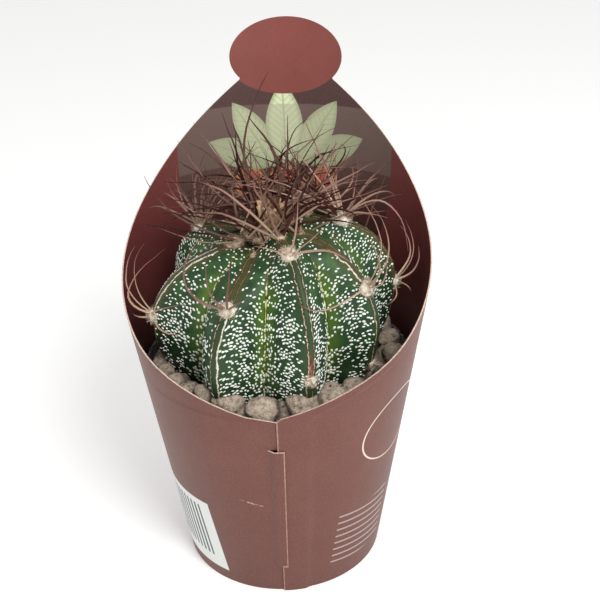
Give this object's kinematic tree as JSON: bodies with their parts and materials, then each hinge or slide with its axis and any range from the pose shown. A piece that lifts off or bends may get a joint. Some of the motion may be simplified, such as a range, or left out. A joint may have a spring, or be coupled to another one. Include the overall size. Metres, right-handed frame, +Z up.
{
  "type": "potted goats horn cactus",
  "caption": "Globular ribbed cactus with woolly areoles and long curved spines, in a gravel-topped nursery pot inside a wrapped paperboard sleeve with a tall back panel.",
  "frame": {"origin": "middle of the underside of the pot, on the surface that the pot and sleeve stand on", "axes": "+Z up; +Y towards the sleeve's tall back panel; -Y the open, low front with the sleeve's lap seam"},
  "size_m": [0.0964, 0.104, 0.1644],
  "materials": {
    "printed_board": "satin print on coated paperboard",
    "pot_plastic": "moulded, slightly worn",
    "soil": "loose, rough",
    "pumice": "porous, dry",
    "cactus_skin": "waxy skin with white wool flecks",
    "wool_and_spines": "dry, papery"
  },
  "bodies": {
    "root": {"paperboard_sleeve": "printed_board", "nursery_pot": "pot_plastic", "potting_soil": "soil", "gravel": "pumice", "cactus_body": "cactus_skin", "spines_crown": "wool_and_spines", "spines_front": "wool_and_spines", "spines_front_left": "wool_and_spines", "spines_left": "wool_and_spines", "spines_back_left": "wool_and_spines", "spines_right": "wool_and_spines", "spines_far_right": "wool_and_spines", "spines_back_right": "wool_and_spines", "spines_back": "wool_and_spines", "spines_upper_right": "wool_and_spines", "spines_front_low": "wool_and_spines", "spines_right_low": "wool_and_spines"}
  },
  "joints": []
}
